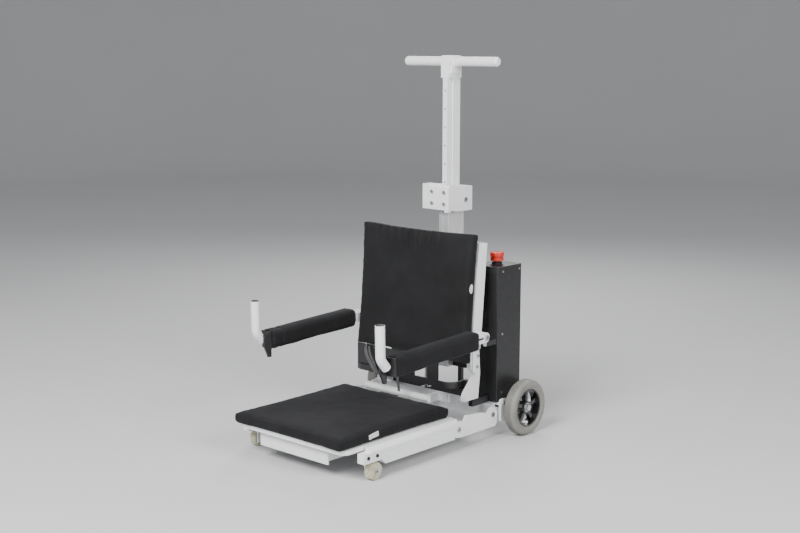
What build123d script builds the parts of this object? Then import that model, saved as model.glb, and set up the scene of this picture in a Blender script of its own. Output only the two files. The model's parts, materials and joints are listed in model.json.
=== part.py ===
from build123d import *
import os
from math import cos, radians, sin

# Stair climbing trolley with a floor level seat.
# Millimetres, +Z up. The seat faces -Y, the wheels are at +Y, and +X is the sitter's left.
# The origin is on the floor, at the middle of the footprint.

# ---------------------------------------------------------------- driving dimensions
WHEEL_RADIUS = 100.0
WHEEL_WIDTH = 45.0
WHEEL_X = 334.0
AXLE_Y = 380.0
AXLE_RADIUS = 8.0
RIM_RADIUS = 69.0
GROOVES = 4
GROOVE_PITCH = 5.5
GROOVE_WIDTH = 1.4
GROOVE_DEPTH = 1.2
SPOKES = 5

ROLLER_RADIUS = 30.0
ROLLER_X = (262.0, 289.0)
ROLLER_Y = -350.0
ROLLER_AXLE_RADIUS = 5.0

RAIL_X = (262.0, 290.0)
RAIL_Z = (46.0, 112.0)
RAIL_FRONT = -372.0
RAIL_FOOT_FRONT = -327.0
PIVOT_A = (64.0, 77.0)
PIVOT_B = (250.0, 91.0)
PLATE_X = (281.0, 290.0)

SEAT_BOARD_X = 255.0
SEAT_BOARD_Y = (-462.0, 70.0)
SEAT_BOARD_Z = (96.0, 112.0)
TRAY_LIP = 12.0
TRAY_INSIDE_Z = 109.0
SEAT_CUSHION_X = 252.5
SEAT_CUSHION_Y = (-480.0, 58.0)
SEAT_CUSHION_Z = (112.0, 156.0)

RECLINE = 4.95
BACK_LINE_Y = 193.7
POST_X = (225.0, 255.0)
POST_DEPTH = 45.0
POST_TOP = 703.0
POST_FOOT_FILL = 345.0
PANEL_THICKNESS = 5.0
CUSHION_THICKNESS = 47.0
CUSHION_SPAN = (282.0, 735.0)
BACK_CUSHION_X = 260.5

MAST_Y = 363.0
MAST_SIZE = (45.0, 88.0)
MAST_WALL = 4.0
MAST_Z = (206.0, 870.0)
HEAD_X = (-45.0, 45.0)
HEAD_Y = (290.0, 427.0)
HEAD_Z = (784.0, 886.0)
HEAD_REAR_TOP = 872.0
WING_X = -78.0

STEM_Z = (690.0, 1264.0)
BAR_Y = 358.0
BAR_Z = 1322.0
BAR_RADIUS = 16.5
BAR_HALF = 215.0
INDEX_PITCH = 66.0
INDEX_FIRST_Z = 757.0
INDEX_HOLES = 8

ACTUATOR = (-72.0, 312.0)
ACTUATOR_RADIUS = 15.0
ACTUATOR_Z = (425.0, 700.0)
ROD_RADIUS = 7.5

BOX_X = (175.0, 285.0)
BOX_Y = (278.0, 413.0)
BOX_Z = (127.0, 611.0)
SHEET = 2.0
LID = 2.0
ESTOP = (228.0, 344.0)

ARM_X = 295.0
ARM_PIVOT = (190.0, 382.0)
ARM_DROOP = 2.2
ARM_PAD = (62.0, 68.0)
ARM_PAD_SPAN = (54.0, 475.0)
ARM_TUBE_RADIUS = 12.5
KNUCKLE_X = (263.0, 307.0)
KNUCKLE_RADIUS = 17.0
ARM_BOSS_RADIUS = 12.0
STOP_LUG_Y = (190.0, 245.0)
STOP_LUG_Z = (350.0, 368.0)
GRIP_RADIUS = 16.0

TUBE_WALL = 2.5
RUNNING = 0.06
SIDES = (("left", 1), ("right", -1))

os.makedirs("parts", exist_ok=True)


# ---------------------------------------------------------------- shape helpers
def middle(span):
    """The middle of a (low, high) span."""
    return (span[0] + span[1]) / 2


def inside(span, wall):
    """A span made smaller by a wall at both ends."""
    return (span[0] + wall, span[1] - wall)


def slab(x, y, z, mode=Mode.ADD):
    """Draw a rectangular block between limits on each axis in the open part."""
    with Locations((middle(x), middle(y), middle(z))):
        Box(abs(x[1] - x[0]), y[1] - y[0], z[1] - z[0], mode=mode)


def bar_x(x, y, z, radius, mode=Mode.ADD):
    """Draw a round bar along X in the open part."""
    with Locations(Location((middle(x), y, z), (0, 90, 0))):
        Cylinder(radius, abs(x[1] - x[0]), mode=mode)


def bar_y(x, y, z, radius, mode=Mode.ADD):
    """Draw a round bar along Y in the open part."""
    with Locations(Location((x, middle(y), z), (90, 0, 0))):
        Cylinder(radius, y[1] - y[0], mode=mode)


def bar_z(x, y, z, radius, mode=Mode.ADD):
    """Draw a round bar along Z in the open part."""
    with Locations((x, y, middle(z))):
        Cylinder(radius, z[1] - z[0], mode=mode)


def mirrored(x, side):
    """A span on the given side: +1 keeps it, -1 mirrors it across the middle plane."""
    return (side * x[0], side * x[1])


def side_plane(x, side):
    """A plane seen from the side, with sketch axes Y and Z, at the lower end of a mirrored span."""
    return Plane.YZ.offset(min(mirrored(x, side)))


def save(piece, name):
    """Label a finished piece and write its STEP file."""
    piece.part.label = name
    export_step(piece.part, f"parts/{name}.step")


def hex_screw(x, y, z, side, radius, height):
    """Draw a low screw head with a hexagon socket on a face that looks along +-X."""
    bar_x((x, x + side * height), y, z, radius)
    outer = x + side * height
    with BuildSketch(Plane.YZ.offset(outer)) as socket:
        with Locations((y, z)):
            RegularPolygon(radius * 0.5, 6)
    extrude(socket.sketch, amount=-side * height * 0.6, mode=Mode.SUBTRACT)


# The plane of the backrest: sketch axes run across and up the recline, its normal looks forward.
recline_plane = Plane(
    origin=(0, BACK_LINE_Y, 0),
    x_dir=(1, 0, 0),
    z_dir=(0, -cos(radians(RECLINE)), sin(radians(RECLINE))),
)


def back_edge(z):
    """Y of the posts' rear face at a height."""
    return BACK_LINE_Y + z * sin(radians(RECLINE))


# ---------------------------------------------------------------- chassis: axle, wheels' plates
PLATE_OUT_X = (292.0, 300.0)
BEAM_HALF = 18.0
with BuildPart() as axle_beam:
    slab((-292, 292), (AXLE_Y - BEAM_HALF, AXLE_Y + BEAM_HALF), (82, 118))
    slab((-292, 292), (AXLE_Y - BEAM_HALF + 3, AXLE_Y + BEAM_HALF - 3), (85, 115), Mode.SUBTRACT)
save(axle_beam, "axle_beam")

with BuildPart() as wheel_plates:
    for _, side in SIDES:
        with BuildSketch(side_plane(PLATE_OUT_X, side)) as outline:
            with BuildLine():
                Polyline((284, 60), (284, 138), (300, 140), (404, 128), (412, 72), (396, 56), close=True)
            make_face()
            fillet(outline.vertices(), radius=5)
        extrude(amount=8)
        bar_x(mirrored(PLATE_OUT_X, side), AXLE_Y, WHEEL_RADIUS, AXLE_RADIUS, Mode.SUBTRACT)
save(wheel_plates, "wheel_plates")

AXLE_HALF = 354.0
with BuildPart() as axle:
    bar_x((-AXLE_HALF, AXLE_HALF), AXLE_Y, WHEEL_RADIUS, AXLE_RADIUS)
save(axle, "axle")

# ---------------------------------------------------------------- chassis: mast and head
mast_front = MAST_Y - MAST_SIZE[1] / 2
mast_rear = MAST_Y + MAST_SIZE[1] / 2
mast_side = MAST_SIZE[0] / 2

with BuildPart() as mast_pedestal:
    slab((20, 50), (372, 398), (118, 126))
    slab((27, 42), (374, 390), (126, MAST_Z[0]))
save(mast_pedestal, "mast_pedestal")

KNOB_Z = 834.0
PLUNGER_RADIUS = 5.0
FLUTE_DEPTH = 2.0
FLUTE_WIDTH = 9.0
SIDE_FLUTES = (-21.5, 21.5)
with BuildPart() as mast:
    with BuildSketch(Plane.XY.offset(MAST_Z[0])):
        with Locations((0, MAST_Y)):
            RectangleRounded(MAST_SIZE[0], MAST_SIZE[1], 1.5)
            Rectangle(MAST_SIZE[0] - 2 * MAST_WALL, MAST_SIZE[1] - 2 * MAST_WALL, mode=Mode.SUBTRACT)
        with Locations((0, mast_front), (0, mast_rear)):
            Rectangle(FLUTE_WIDTH, 2 * FLUTE_DEPTH, mode=Mode.SUBTRACT)
        for flute in SIDE_FLUTES:
            with Locations((-mast_side, MAST_Y + flute), (mast_side, MAST_Y + flute)):
                Rectangle(2 * FLUTE_DEPTH, FLUTE_WIDTH, mode=Mode.SUBTRACT)
    extrude(amount=MAST_Z[1] - MAST_Z[0])
    bar_y(0, (mast_rear - MAST_WALL - 1, mast_rear), KNOB_Z, 6, Mode.SUBTRACT)
save(mast, "mast")

STRUT_Y = (350.0, 390.0)
STRUT_Z = (206.0, 262.0)
with BuildPart() as mast_struts:
    slab((mast_side, BOX_X[0]), STRUT_Y, STRUT_Z)
    slab((mast_side, BOX_X[0]), inside(STRUT_Y, TUBE_WALL), inside(STRUT_Z, TUBE_WALL), Mode.SUBTRACT)
    slab((-288, -mast_side), STRUT_Y, STRUT_Z)
    slab((-288 + TUBE_WALL, -mast_side), inside(STRUT_Y, TUBE_WALL), inside(STRUT_Z, TUBE_WALL), Mode.SUBTRACT)
    slab((-288, -258), (362, 390), (118, STRUT_Z[0]))
save(mast_struts, "mast_struts")

with BuildPart() as head_block:
    with BuildSketch(Plane.YZ.offset(HEAD_X[0])) as outline:
        with BuildLine():
            Polyline((HEAD_Y[0], HEAD_Z[0] + 8), (HEAD_Y[0], HEAD_Z[1]), (HEAD_Y[1], HEAD_REAR_TOP),
                     (HEAD_Y[1], HEAD_Z[0]), (HEAD_Y[0] + 60, HEAD_Z[0]), close=True)
        make_face()
        fillet(outline.vertices().group_by(Axis.Y)[-1].sort_by(Axis.Z)[-1], radius=14)
    extrude(amount=HEAD_X[1] - HEAD_X[0])
    slab((WING_X, HEAD_X[0]), (HEAD_Y[0], 330), (HEAD_Z[0] + 8, HEAD_Z[1] - 4))
    fillet(head_block.edges().filter_by(Axis.Z).group_by(Axis.Y)[0], radius=3)
    slab((-mast_side, mast_side), (mast_front, mast_rear), (HEAD_Z[0], MAST_Z[1]), Mode.SUBTRACT)
    slab((-16, 16), inside((mast_front, mast_rear), MAST_WALL), (MAST_Z[1], HEAD_Z[1]), Mode.SUBTRACT)
    slab((27, HEAD_X[1]), (HEAD_Y[0], 304), (HEAD_Z[0], HEAD_Z[0] + 12))
    bar_y(0, (mast_rear, HEAD_Y[1]), KNOB_Z, PLUNGER_RADIUS + RUNNING, Mode.SUBTRACT)
save(head_block, "head_block")

MOTOR_X = -122.0
with BuildPart() as lift_actuator:
    bar_z(ACTUATOR[0], ACTUATOR[1], ACTUATOR_Z, ACTUATOR_RADIUS)
    bar_z(MOTOR_X, ACTUATOR[1], (500, 630), 22)
    slab((-140, -50), (ACTUATOR[1] - 16, ACTUATOR[1] + 16), (630, 656))
    slab((-88, -mast_side), (ACTUATOR[1] - 16, 345), (692, 704))
    bar_z(ACTUATOR[0], ACTUATOR[1], (ACTUATOR_Z[0], ACTUATOR_Z[1] - 8), ROD_RADIUS + 1, Mode.SUBTRACT)
save(lift_actuator, "lift_actuator")

# ---------------------------------------------------------------- chassis: drive box
with BuildPart() as drive_box:
    slab(BOX_X, BOX_Y, BOX_Z)
    fillet(drive_box.edges().filter_by(Axis.Z), radius=2)
    slab(
        (BOX_X[0] + SHEET, BOX_X[1] - SHEET),
        (BOX_Y[0] + SHEET, BOX_Y[1] - SHEET),
        (BOX_Z[0] + SHEET, BOX_Z[1]),
        Mode.SUBTRACT,
    )
    for column in range(4):
        x = 240 + 11 * column
        slab((x, x + 4), (BOX_Y[0], BOX_Y[0] + 1), (400, 590), Mode.SUBTRACT)
        slab((x, x + 4), (BOX_Y[0], BOX_Y[0] + 1), (180, 340), Mode.SUBTRACT)
save(drive_box, "drive_box")

with BuildPart() as drive_box_lid:
    slab(BOX_X, BOX_Y, (BOX_Z[1], BOX_Z[1] + LID))
    fillet(drive_box_lid.edges().filter_by(Axis.Z), radius=2)
    bar_z(ESTOP[0], ESTOP[1], (BOX_Z[1], BOX_Z[1] + LID), 11, Mode.SUBTRACT)
save(drive_box_lid, "drive_box_lid")

with BuildPart() as battery_pack:
    slab((184, 276), (290, 401), (BOX_Z[0] + SHEET, 330))
    fillet(battery_pack.edges().filter_by(Axis.Z), radius=6)
save(battery_pack, "battery_pack")

with BuildPart() as motor_controller:
    slab((195, 265), (BOX_Y[1] - SHEET - 36, BOX_Y[1] - SHEET), (380, 520))
    for fin in range(6):
        z = 392 + 21 * fin
        slab((195, 265), (BOX_Y[1] - SHEET - 36, BOX_Y[1] - SHEET - 24), (z, z + 12), Mode.SUBTRACT)
save(motor_controller, "motor_controller")

with BuildPart() as box_bracket:
    slab((180, PLATE_OUT_X[0]), (284, 398), (118, BOX_Z[0]))
save(box_bracket, "box_bracket")

with BuildPart() as estop_base:
    bar_z(ESTOP[0], ESTOP[1], (BOX_Z[1] - 24, BOX_Z[1] + LID), 11)
    bar_z(ESTOP[0], ESTOP[1], (BOX_Z[1] + LID, 620), 18)
    bar_z(ESTOP[0], ESTOP[1], (BOX_Z[1] - 20, 620), 8 + RUNNING, Mode.SUBTRACT)
save(estop_base, "estop_base")

HEAD_BOLTS = [(x, z) for x in (-30, 27) for z in (815, 857)]
NUT_X = (346.5, 354.0)
BOX_SCREWS = ((306, 596), (306, 372), (306, 160), (400, 596), (400, 160))
with BuildPart() as chassis_fasteners:
    for x, z in HEAD_BOLTS:
        bar_y(x, (HEAD_Y[0] - 5, HEAD_Y[0]), z, 6.5)
    hex_screw(HEAD_X[1], 386, 825, 1, 9, 5)
    for y, z in BOX_SCREWS:
        hex_screw(BOX_X[1], y, z, 1, 4, 2)
    for _, side in SIDES:
        for y in (302, 330):
            hex_screw(side * PLATE_OUT_X[1], y, 124, side, 6, 4)
        with BuildSketch(side_plane(NUT_X, side)):
            with Locations((AXLE_Y, WHEEL_RADIUS)):
                RegularPolygon(13, 6)
                Circle(AXLE_RADIUS, mode=Mode.SUBTRACT)
        extrude(amount=NUT_X[1] - NUT_X[0])
save(chassis_fasteners, "chassis_fasteners")


# ---------------------------------------------------------------- wheels
def wheel(name, side):
    """One rear wheel: tyre, spoked hub and its two bearings."""
    center = side * WHEEL_X
    face = Plane.YZ.offset(center)
    hub_reach = WHEEL_WIDTH / 2 - 4

    with BuildPart() as tyre:
        with BuildSketch(Plane.XY):
            with Locations(((RIM_RADIUS + WHEEL_RADIUS) / 2, 0)):
                RectangleRounded(WHEEL_RADIUS - RIM_RADIUS, WHEEL_WIDTH, 13)
                with Locations((-(WHEEL_RADIUS - RIM_RADIUS) / 4, 0)):
                    Rectangle((WHEEL_RADIUS - RIM_RADIUS) / 2, WHEEL_WIDTH - 8)
            with GridLocations(0, GROOVE_PITCH, 1, GROOVES):
                with Locations((WHEEL_RADIUS, 0)):
                    Rectangle(2 * GROOVE_DEPTH, GROOVE_WIDTH, mode=Mode.SUBTRACT)
        revolve(axis=Axis.Y)
    tyre_part = Location((center, AXLE_Y, WHEEL_RADIUS), (0, 0, 90)) * tyre.part
    tyre_part.label = f"tyre_{name}"
    export_step(tyre_part, f"parts/tyre_{name}.step")

    with BuildPart() as hub:
        with BuildSketch(face):
            with Locations((AXLE_Y, WHEEL_RADIUS)):
                Circle(RIM_RADIUS)
                Circle(RIM_RADIUS - 6, mode=Mode.SUBTRACT)
        extrude(amount=hub_reach, both=True)
        with BuildSketch(face):
            with Locations((AXLE_Y, WHEEL_RADIUS)):
                with PolarLocations(0, SPOKES, start_angle=90):
                    with Locations(((RIM_RADIUS - 2) / 2, 0)):
                        Rectangle(RIM_RADIUS - 4, 13)
        extrude(amount=9, both=True)
        bar_x((side * 301, side * 346), AXLE_Y, WHEEL_RADIUS, 23)
        bar_x((side * 301, side * 346), AXLE_Y, WHEEL_RADIUS, 11, Mode.SUBTRACT)
        bar_x((side * 301, side * 311), AXLE_Y, WHEEL_RADIUS, 16, Mode.SUBTRACT)
        bar_x((side * 336, side * 346), AXLE_Y, WHEEL_RADIUS, 16, Mode.SUBTRACT)
    save(hub, f"hub_{name}")

    with BuildPart() as bearings:
        for x in (301, 336):
            span = (side * x, side * (x + 10))
            bar_x(span, AXLE_Y, WHEEL_RADIUS, 16)
            bar_x(span, AXLE_Y, WHEEL_RADIUS, AXLE_RADIUS + RUNNING, Mode.SUBTRACT)
    save(bearings, f"bearings_{name}")


for side_name, side_sign in SIDES:
    wheel(side_name, side_sign)


# ---------------------------------------------------------------- carriage: rails and rollers
def rail(name, side):
    """One low side rail: a bevelled bar with a groove, cut away in front for the roller block."""
    low_x, high_x = RAIL_X
    bevel = 13.0
    with BuildPart() as piece:
        with BuildSketch(Plane.XZ.offset(-PIVOT_A[0])):
            with BuildLine():
                Polyline(
                    (side * low_x, RAIL_Z[0]),
                    (side * high_x, RAIL_Z[0]),
                    (side * high_x, 84),
                    (side * (high_x - 3), 86),
                    (side * high_x, 88),
                    (side * high_x, RAIL_Z[1] - bevel),
                    (side * (high_x - bevel), RAIL_Z[1]),
                    (side * low_x, RAIL_Z[1]),
                    close=True,
                )
            make_face()
        extrude(amount=PIVOT_A[0] - RAIL_FRONT)
        bar_x(mirrored((low_x, PLATE_X[0]), side), PIVOT_A[0], PIVOT_A[1], 29)
        slab(mirrored((low_x - 2, high_x + 2), side), (RAIL_FRONT - 1, RAIL_FOOT_FRONT), (40, 96), Mode.SUBTRACT)
        with BuildSketch(side_plane(RAIL_X, side)):
            with BuildLine():
                Polyline((RAIL_FOOT_FRONT - 1, 66), (RAIL_FOOT_FRONT, 66), (RAIL_FOOT_FRONT + 22, 46),
                         (RAIL_FOOT_FRONT + 22, 40), (RAIL_FOOT_FRONT - 1, 40), close=True)
            make_face()
        extrude(amount=high_x - low_x, mode=Mode.SUBTRACT)
        slab(mirrored((low_x - 26, low_x), side), (-320, -280), (84, 95.5))
        outer = mirrored((PLATE_X[0], high_x + 1), side)
        bar_x(outer, PIVOT_A[0], PIVOT_A[1], 29.3, Mode.SUBTRACT)
        slab(outer, (PIVOT_A[0] - 20, PIVOT_A[0] + 40), (30, 120), Mode.SUBTRACT)
        bar_x(mirrored((low_x - 1, high_x + 1), side), PIVOT_A[0], PIVOT_A[1], 6, Mode.SUBTRACT)
    save(piece, f"side_rail_{name}")


def side_plate(name, side):
    """One plate from the rail's pivot back to the rear cross beam."""
    with BuildPart() as piece:
        with BuildSketch(side_plane(PLATE_X, side)):
            with BuildLine():
                Polyline(
                    (PIVOT_A[0], PIVOT_A[1] - 29), (PIVOT_A[0] + 20, RAIL_Z[0]), (266, RAIL_Z[0]), (276, 58),
                    (276, 91), (186, 110), (106, 118), (93, 100), (PIVOT_A[0], PIVOT_A[1] + 29), close=True,
                )
            make_face()
            with Locations(PIVOT_A):
                Circle(29)
            with Locations(PIVOT_B):
                Circle(26)
            with Locations(PIVOT_A, PIVOT_B):
                Circle(6, mode=Mode.SUBTRACT)
        extrude(amount=PLATE_X[1] - PLATE_X[0])
    save(piece, f"side_plate_{name}")


for side_name, side_sign in SIDES:
    rail(side_name, side_sign)
    side_plate(side_name, side_sign)

BLOCK_X = (260.0, 290.0)
BLOCK_Y = (-406.0, -328.0)
BLOCK_Z = (64.0, 96.0)
FORK_X = (255.5, 260.0)
with BuildPart() as roller_blocks:
    for _, side in SIDES:
        slab(mirrored(BLOCK_X, side), BLOCK_Y, BLOCK_Z)
        slab(mirrored(FORK_X, side), (ROLLER_Y - 20, ROLLER_Y + 20), (16, BLOCK_Z[1]))
        bar_x(mirrored(FORK_X, side), ROLLER_Y, ROLLER_RADIUS, ROLLER_AXLE_RADIUS, Mode.SUBTRACT)
save(roller_blocks, "roller_blocks")

with BuildPart() as roller_axles:
    for _, side in SIDES:
        bar_x(mirrored((FORK_X[0], 289.4), side), ROLLER_Y, ROLLER_RADIUS, ROLLER_AXLE_RADIUS)
        hex_screw(side * 289.4, ROLLER_Y, ROLLER_RADIUS, side, 9, 4)
save(roller_axles, "roller_axles")


def roller(name, side):
    """One small front roller with its bore on the roller axle."""
    with BuildPart() as piece:
        bar_x(mirrored(ROLLER_X, side), ROLLER_Y, ROLLER_RADIUS, ROLLER_RADIUS)
        fillet(piece.edges(), radius=4)
        bar_x(mirrored(ROLLER_X, side), ROLLER_Y, ROLLER_RADIUS, ROLLER_AXLE_RADIUS + RUNNING, Mode.SUBTRACT)
    save(piece, f"roller_{name}")


for side_name, side_sign in SIDES:
    roller(side_name, side_sign)

# ---------------------------------------------------------------- carriage: cross members
CROSS_Y = (250.0, 274.0)
with BuildPart() as rear_cross_beam:
    slab((-PLATE_X[0], PLATE_X[0]), CROSS_Y, (76, 124))
    fillet(rear_cross_beam.edges().filter_by(Axis.X), radius=3)
    for _, side in SIDES:
        bar_x((side * 262, side * PLATE_X[0]), PIVOT_B[0], PIVOT_B[1], 6.5, Mode.SUBTRACT)
save(rear_cross_beam, "rear_cross_beam")

LIFT_BAR = (206.0, 110.0)
LUG_X = 36.0
with BuildPart() as lift_cross_bar:
    bar_x((-PLATE_X[0], LUG_X), LIFT_BAR[0], LIFT_BAR[1], 12.5)
    slab((LUG_X, LUG_X + 12), (LIFT_BAR[0] - 12.5, CROSS_Y[0]), (100, 130))
    slab((LUG_X, LUG_X + 55), (CROSS_Y[0] - 6, CROSS_Y[0]), (98, 130))
save(lift_cross_bar, "lift_cross_bar")

with BuildPart() as frame_bolts:
    for _, side in SIDES:
        bar_x(mirrored((238, 290), side), PIVOT_A[0], PIVOT_A[1], 6)
        hex_screw(side * 290, PIVOT_A[0], PIVOT_A[1], side, 9, 4)
        bar_x(mirrored((262, 290), side), PIVOT_B[0], PIVOT_B[1], 6)
        hex_screw(side * 290, PIVOT_B[0], PIVOT_B[1], side, 9, 4)
        for y in (-387, -346):
            hex_screw(side * BLOCK_X[1], y, 82, side, 6, 3)
        for z in (268, 306):
            hex_screw(side * POST_X[1], back_edge(z) - 14, z, side, 6, 4)
        bar_x(mirrored((255, KNUCKLE_X[1] + 0.5), side), ARM_PIVOT[0], ARM_PIVOT[1], 6)
        hex_screw(side * (KNUCKLE_X[1] + 0.5), ARM_PIVOT[0], ARM_PIVOT[1], side, 10, 5)
save(frame_bolts, "frame_bolts")


# ---------------------------------------------------------------- carriage: backrest frame
LEG_X = (231.0, 249.0)
LEG_FOOT_Z = 150.0
HOOP_Y = (130.0, 218.0)


def leg_outline(side):
    """Side view of a post's lower leg: a whole leg on the left, and a short stub on the right."""
    neck = [(back_edge(335), 335), (back_edge(335) - 44, 335), (back_edge(300) - 44, 300), (back_edge(262) - 40, 262)]
    if side > 0:
        return neck + [(207, 238), (150, 178), (144, 164), (144, LEG_FOOT_Z), (219, LEG_FOOT_Z), (229, 238)]
    return neck + [(HOOP_Y[1] - 34, 240), (HOOP_Y[1], 240), (HOOP_Y[1], 262)]


def back_post(name, side):
    """One reclined post with its bolted lower leg and armrest boss."""
    low_x, high_x = sorted(mirrored(POST_X, side))
    with BuildPart() as piece:
        with BuildSketch(recline_plane):
            with Locations((middle((low_x, high_x)), (330 + POST_TOP) / 2)):
                Rectangle(high_x - low_x, POST_TOP - 330)
        extrude(amount=POST_DEPTH)
        with BuildSketch(recline_plane.offset(TUBE_WALL)):
            with Locations((middle((low_x, high_x)), (POST_FOOT_FILL + POST_TOP - TUBE_WALL) / 2)):
                Rectangle(high_x - low_x - 2 * TUBE_WALL, POST_TOP - TUBE_WALL - POST_FOOT_FILL)
        extrude(amount=POST_DEPTH - 2 * TUBE_WALL, mode=Mode.SUBTRACT)
        with BuildSketch(side_plane(LEG_X, side)):
            with BuildLine():
                Polyline(*leg_outline(side), close=True)
            make_face()
        extrude(amount=LEG_X[1] - LEG_X[0])
        with BuildSketch(side_plane((249, POST_X[1]), side)):
            with Locations((back_edge(287) - 20, 287)):
                RectangleRounded(36, 84, 16)
        extrude(amount=POST_X[1] - 249)
        bar_x(mirrored((POST_X[1], 262), side), ARM_PIVOT[0], ARM_PIVOT[1], ARM_BOSS_RADIUS)
        bar_x(mirrored((POST_X[1], 262), side), ARM_PIVOT[0], ARM_PIVOT[1], 6, Mode.SUBTRACT)
    save(piece, f"back_post_{name}")


for side_name, side_sign in SIDES:
    back_post(side_name, side_sign)

with BuildPart() as post_foot:
    slab(LEG_X, (188, CROSS_Y[1]), (124, LEG_FOOT_Z))
save(post_foot, "post_foot")

TUBE_Y = (200.0, 228.0)
UPPER_TUBE_Z = (405.0, 433.0)
LOWER_TUBE_Z = (340.0, 368.0)
with BuildPart() as cross_tubes:
    for tube_z in (UPPER_TUBE_Z, LOWER_TUBE_Z):
        slab((-POST_X[0], POST_X[0]), TUBE_Y, tube_z)
        bore_y, bore_z = inside(TUBE_Y, TUBE_WALL), inside(tube_z, TUBE_WALL)
        slab((-POST_X[0], POST_X[0]), bore_y, bore_z, Mode.SUBTRACT)
save(cross_tubes, "cross_tubes")

CHEEK_X = (30.5, 36.5)
CHEEK_REAR = 348.0
CARRIAGE_Z = (300.0, 440.0)
WEB_Y = (292.0, 299.0)
with BuildPart() as mast_carriage:
    for _, side in SIDES:
        slab(mirrored(CHEEK_X, side), (TUBE_Y[1], CHEEK_REAR), CARRIAGE_Z)
    slab((-CHEEK_X[0], CHEEK_X[0]), WEB_Y, CARRIAGE_Z)
save(mast_carriage, "mast_carriage")

KEY_Y = MAST_Y + SIDE_FLUTES[0]
with BuildPart() as glide_shoes:
    for z in (304, 386):
        height = (z, z + 50)
        slab((-18, 18), (WEB_Y[1], mast_front - 0.4), height)
        for _, side in SIDES:
            slab(mirrored((mast_side + 0.4, CHEEK_X[0]), side), (CHEEK_REAR - 19, CHEEK_REAR), height)
            slab(mirrored((mast_side - FLUTE_DEPTH + 0.5, mast_side + 1), side), (KEY_Y - 4, KEY_Y + 4), height)
save(glide_shoes, "glide_shoes")

with BuildPart() as actuator_rod:
    bar_z(ACTUATOR[0], ACTUATOR[1], (104, 440), ROD_RADIUS)
    slab((-88, -56), (CROSS_Y[1], ACTUATOR[1] + 14), (92, 118))
    fillet(actuator_rod.edges().filter_by(Axis.Z).group_by(Axis.Y)[-1], radius=10)
save(actuator_rod, "actuator_rod")

with BuildPart() as back_panel:
    with BuildSketch(recline_plane.offset(POST_DEPTH)):
        with Locations((0, middle((290, 725)))):
            RectangleRounded(490, 435, 20)
    extrude(amount=PANEL_THICKNESS)
save(back_panel, "back_panel")

with BuildPart() as back_cushion:
    with BuildSketch(recline_plane.offset(POST_DEPTH + PANEL_THICKNESS)):
        with Locations((0, middle(CUSHION_SPAN))):
            RectangleRounded(2 * BACK_CUSHION_X, CUSHION_SPAN[1] - CUSHION_SPAN[0], 12)
    extrude(amount=CUSHION_THICKNESS)
    fillet(back_cushion.faces().sort_by(Axis.Y)[0].edges(), radius=8)
save(back_cushion, "back_cushion")

HOOP_X = (-275.0, 200.0)
HOOP_Z = (188.0, 210.0)
HOOP_BAND = 7.0
LATTICE_TOP = 287.2
with BuildPart() as back_hoop:
    with BuildSketch(Plane.XY.offset(HOOP_Z[0])):
        with BuildLine():
            FilletPolyline((HOOP_X[0], HOOP_Y[1]), (HOOP_X[0], HOOP_Y[0]), (HOOP_X[1], HOOP_Y[0]),
                           (HOOP_X[1], HOOP_Y[1]), radius=40)
            offset(amount=HOOP_BAND, side=Side.LEFT)
        make_face()
    extrude(amount=HOOP_Z[1] - HOOP_Z[0])
    slab((HOOP_X[1] - HOOP_BAND, LEG_X[0]), (200, HOOP_Y[1]), HOOP_Z)
    slab((HOOP_X[0], -LEG_X[0]), (HOOP_Y[1], HOOP_Y[1] + 6), (HOOP_Z[0], 262))
    lattice_y = (HOOP_Y[0] + HOOP_BAND, HOOP_Y[0] + HOOP_BAND + 4)
    slab((-262, 20), lattice_y, (HOOP_Z[0], LATTICE_TOP))
    slab((80, 132), lattice_y, (HOOP_Z[0], LATTICE_TOP))
save(back_hoop, "back_hoop")

# ---------------------------------------------------------------- seat platform
with BuildPart() as seat_board:
    slab((-SEAT_BOARD_X, SEAT_BOARD_X), SEAT_BOARD_Y, SEAT_BOARD_Z)
    fillet(seat_board.edges().filter_by(Axis.Z).group_by(Axis.Y)[0], radius=30)
    fillet(seat_board.faces().sort_by(Axis.Z)[0].edges(), radius=4)
    slab(
        (TRAY_LIP - SEAT_BOARD_X, SEAT_BOARD_X - TRAY_LIP),
        (SEAT_BOARD_Y[0] + TRAY_LIP, SEAT_BOARD_Y[1] - TRAY_LIP),
        (SEAT_BOARD_Z[0], TRAY_INSIDE_Z),
        Mode.SUBTRACT,
    )
save(seat_board, "seat_board")

with BuildPart() as seat_cushion:
    slab((-SEAT_CUSHION_X, SEAT_CUSHION_X), SEAT_CUSHION_Y, SEAT_CUSHION_Z)
    fillet(seat_cushion.edges().filter_by(Axis.Z), radius=14)
    fillet(seat_cushion.faces().sort_by(Axis.Z)[-1].edges(), radius=8)
save(seat_cushion, "seat_cushion")

HINGE_TUBE_RADIUS = 13.0
BEAM_X = (148.0, 162.0)
SKIRT_Y = (-441.0, -437.0)
with BuildPart() as under_frame:
    for _, side in SIDES:
        slab(mirrored(BEAM_X, side), (SKIRT_Y[1], PIVOT_A[0] - 7), (58, TRAY_INSIDE_Z))
    bar_x((-200, 200), PIVOT_A[0], PIVOT_A[1], HINGE_TUBE_RADIUS, Mode.SUBTRACT)
    slab((-BEAM_X[1], BEAM_X[1]), SKIRT_Y, (45, TRAY_INSIDE_Z))
save(under_frame, "under_frame")

with BuildPart() as hinge_tube:
    bar_x((-261.5, 261.5), PIVOT_A[0], PIVOT_A[1], HINGE_TUBE_RADIUS)
    bar_x((-236, 236), PIVOT_A[0], PIVOT_A[1], 10, Mode.SUBTRACT)
    bar_x((-261.5, 261.5), PIVOT_A[0], PIVOT_A[1], 6 + RUNNING, Mode.SUBTRACT)
    for _, side in SIDES:
        slab(mirrored((210, 240), side), (PIVOT_A[0] - 12, PIVOT_A[0] - 6.5), (PIVOT_A[1] + 10, TRAY_INSIDE_Z))
save(hinge_tube, "hinge_tube")


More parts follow.
